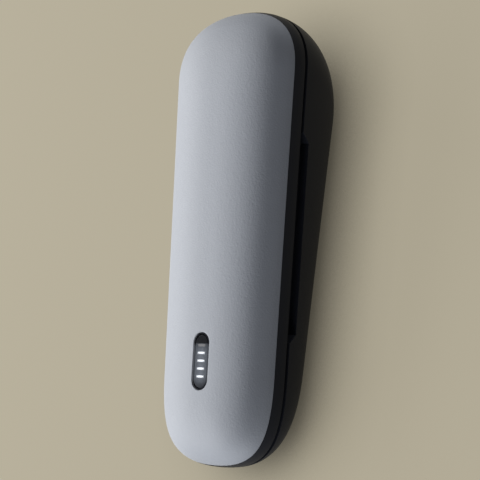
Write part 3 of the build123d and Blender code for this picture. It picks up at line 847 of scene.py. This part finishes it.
def bezelGlossAndGlow():
    # The ring round the strip catches some of its light, as a painted glow that the ring itself
    # emits
    material = moulded("bezelGlossAndGlow", bezelLook)
    tree = material.node_tree
    along = placeInFrame(tree)[0]
    first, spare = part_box("charge_bars")[0].x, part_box("charge_bar_spare")[1].x
    rise = ease(tree, along, first + spillLook["riseFrom"], first, 0.0, spillLook["level"])
    fall = ease(tree, along, spare + spillLook["fallTo"], spare + spillLook["fallFrom"])
    spill = scalar(tree, "MULTIPLY", rise, fall)
    emit(tree, tree.nodes["Principled BSDF"], lensLook["glow"], spill)
    return material


barLook = {
    "single": 0.00110,       # one bar
    "frostScale": 3000,
    "darker": 0.9,           # mottling under the base colour
    "rough": (0.45, 0.6),
    "glow": (0.90, 0.94, 1.0),
    "sidePower": 2.6,        # roundness of the lit patch
    "alongPower": 2.0,
    "reach": 1.2,            # where it has faded, 1 being the bar's edge
    "faded": 0.12,
    "bars": {
        # material, number of bars, level and base colour
        "charge_bars": ("litBar", 4, 1.05, (0.25, 0.27, 0.31)),
        "charge_bar_spare": ("dimBar", 1, 0.075, (0.03, 0.03, 0.04)),
    },
}


def barMaterial(node):
    # Frosted bars that fade towards their edges
    name, count, level, base = barLook["bars"][node]
    material, tree, shader = newMaterial(name)
    frost = noise(tree, barLook["frostScale"], detail=2)
    dark = tuple(barLook["darker"] * value for value in base)
    tree.links.new(ramp(tree, frost, dark, base), shader.inputs["Base Color"])
    tree.links.new(spread(tree, frost, *barLook["rough"]), shader.inputs["Roughness"])
    low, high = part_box(node)
    single = barLook["single"]
    pitch = (high.x - low.x - single) / max(count - 1, 1)
    along, across = placeInFrame(tree)[:2]
    side = scalar(tree, "DIVIDE", apart(tree, across, (low.y + high.y) / 2), (high.y - low.y) / 2)
    step = scalar(tree, "DIVIDE", scalar(tree, "SUBTRACT", along, low.x + single / 2), pitch)
    off = apart(tree, step, scalar(tree, "ROUND", step))
    off = scalar(tree, "DIVIDE", off, single / 2 / pitch)
    side = scalar(tree, "POWER", side, barLook["sidePower"])
    off = scalar(tree, "POWER", off, barLook["alongPower"])
    edge = scalar(tree, "ADD", side, off)
    glow = ease(tree, edge, barLook["reach"], 0.0, barLook["faded"] * level, level)
    emit(tree, shader, barLook["glow"], glow)
    return material


def paintFrame():
    dark = moulded("mouldedDark", darkCaseLook)
    tray = moulded("trayGrain", trayLook)
    chip = moulded("chipEpoxy", chipLook)
    steel = metal("drawnSteel", steelLook)
    gold = metal("goldPlate", goldLook)
    finishes = {
        "lid_frame": dark,
        "base_shell": dark,
        "cradle": tray,
        "lid_liner": tray,
        "display_bezel": bezelGlossAndGlow(),
        "display_button": smokedLens(),
        "charge_bars": barMaterial("charge_bars"),
        "charge_bar_spare": barMaterial("charge_bar_spare"),
        "display_board": moulded("boardMask", boardLook),
        "charge_board": moulded("chargeBoardMask", boardLook),
        "charge_board_parts": chip,
        "display_leds": chip,
        "switch_body": chip,
        "contact_block": chip,
        "inlet_socket": moulded("inletPlastic", chipLook),
        "switch_plunger": moulded("plungerPlastic", plungerLook),
        "hinge_pin_foot": steel,
        "hinge_pin_head": steel,
        "liner_screws": steel,
        "cradle_screws": steel,
        "display_board_screws": steel,
        "lid_magnets": steel,
        "base_magnets": steel,
        "contact_pin_left": gold,
        "contact_pin_right": gold,
        "inlet_prongs": metal("prongNickel", prongLook),
        "battery_cell": metal("pouchFoil", foilLook),
        "battery_leads": moulded("leadSleeve", leadLook),
    }
    for name, material in finishes.items():
        nodes[name].data.materials.clear()
        nodes[name].data.materials.append(material)
    print("frame painted")


skin = makeSkin()
skin.data.materials.append(softTouchSkin())
print("skin made")
padFoam = moulded("padFoam", padLook)
for pad in makePads():
    pad.data.materials.append(padFoam)
springWire = metal("springWire", steelLook)
for spring in makeSprings():
    spring.data.materials.append(springWire)
paintFrame()


# Floor and light

studio = {
    "floorSeen": (0.395, 0.358, 0.270),      # glow of the floor as the camera sees it
    "floorLit": (0.07, 0.064, 0.049),        # how strongly the lamps show on it
    "floorShade": 0.97,                      # darkest of its mottling
    "floorScale": 2.5,
    "floorBounce": (0.14, 0.142, 0.150),     # what it throws back at the case
    "floorRough": 0.9,
    "floorSpecular": 0.1,
    "floorSize": 30.0,
    "backdropSeen": (0.400, 0.363, 0.274),   # beyond the floor's end
    "shadowReach": 0.04,
    "shadowSamples": 8,
    "shadowStart": 0.15,
    "shadowDepth": 0.15,
    "fillTint": (0.86, 0.88, 1.0),
    "fill": 0.034,
    "aimHeight": 0.03,                       # of the point that the lamps face
}


def seenDirectly(tree):
    # 1 for what the camera sees, straight on, in gloss or through glass
    path = tree.nodes.new("ShaderNodeLightPath").outputs
    seenOrGloss = scalar(tree, "MAXIMUM", path["Is Camera Ray"], path["Is Glossy Ray"])
    return scalar(tree, "MAXIMUM", seenOrGloss, path["Is Transmission Ray"])


def pickBy(tree, seen, unseenColour):
    node = tree.nodes.new("ShaderNodeMix")
    node.data_type = "RGBA"
    node.inputs["A"].default_value = (*unseenColour, 1)
    tree.links.new(seen, node.inputs["Factor"])
    return node.inputs["B"], node.outputs["Result"]


def makeFloor():
    half = studio["floorSize"] / 2
    mesh = bpy.data.meshes.new("studioFloor")
    corners = [(-half, -half, 0), (half, -half, 0), (half, half, 0), (-half, half, 0)]
    mesh.from_pydata(corners, [], [(0, 1, 2, 3)])
    floor = bpy.data.objects.new("studioFloor", mesh)
    bpy.context.scene.collection.objects.link(floor)
    material, tree, shader = newMaterial("paleFloor")
    seen = seenDirectly(tree)
    light = studio["floorLit"]
    dark = tuple(studio["floorShade"] * value for value in light)
    seenColour, colour = pickBy(tree, seen, studio["floorBounce"])
    mottle = noise(tree, studio["floorScale"], detail=2)
    tree.links.new(ramp(tree, mottle, dark, light), seenColour)
    tree.links.new(colour, shader.inputs["Base Color"])
    near = tree.nodes.new("ShaderNodeAmbientOcclusion")
    near.samples = studio["shadowSamples"]
    near.inputs["Distance"].default_value = studio["shadowReach"]
    under = ease(tree, near.outputs["AO"], studio["shadowStart"], 1.0, studio["shadowDepth"])
    emit(tree, shader, studio["floorSeen"], scalar(tree, "MULTIPLY", seen, under))
    shader.inputs["Roughness"].default_value = studio["floorRough"]
    shader.inputs["Specular IOR Level"].default_value = studio["floorSpecular"]
    mesh.materials.append(material)


lamps = {
    # aim, distance, size, power and colour
    "keyLight": ((-0.10, 0.87, 0.49), 1.1, (1.9, 0.35), 20.8, (1.0, 1.0, 1.0)),
    "topLight": ((-0.15, -0.08, 1.0), 1.2, (1.2, 1.2), 0.95, (0.80, 0.86, 1.0)),
    "footLight": ((-1.0, -0.08, 0.20), 1.0, (0.5, 0.3), 3.8, (0.92, 0.95, 1.0)),
    "headLight": ((1.0, -0.10, 0.20), 1.0, (0.5, 0.3), 1.7, (0.92, 0.95, 1.0)),
}


def areaLight(name, aim, distance, size, power, colour):
    data = bpy.data.lights.new(name, "AREA")
    data.shape = "RECTANGLE"
    data.size, data.size_y = size
    data.energy = power
    data.color = colour
    lamp = bpy.data.objects.new(name, data)
    away = Vector(aim).normalized()
    lamp.location = away * distance + Vector((0, 0, studio["aimHeight"]))
    lamp.rotation_euler = away.to_track_quat("Z", "Y").to_euler()
    bpy.context.scene.collection.objects.link(lamp)


def lightStudio():
    for name, lamp in lamps.items():
        areaLight(name, *lamp)
    world = bpy.data.worlds.new("studioWorld")
    bpy.context.scene.world = world
    world.use_nodes = True
    tree = world.node_tree
    fill = tuple(studio["fill"] * tint for tint in studio["fillTint"])
    seenColour, colour = pickBy(tree, seenDirectly(tree), fill)
    seenColour.default_value = (*studio["backdropSeen"], 1)
    tree.links.new(colour, tree.nodes["Background"].inputs["Color"])
    bpy.context.scene.view_settings.view_transform = "Standard"


makeFloor()
lightStudio()
print("studio lit")
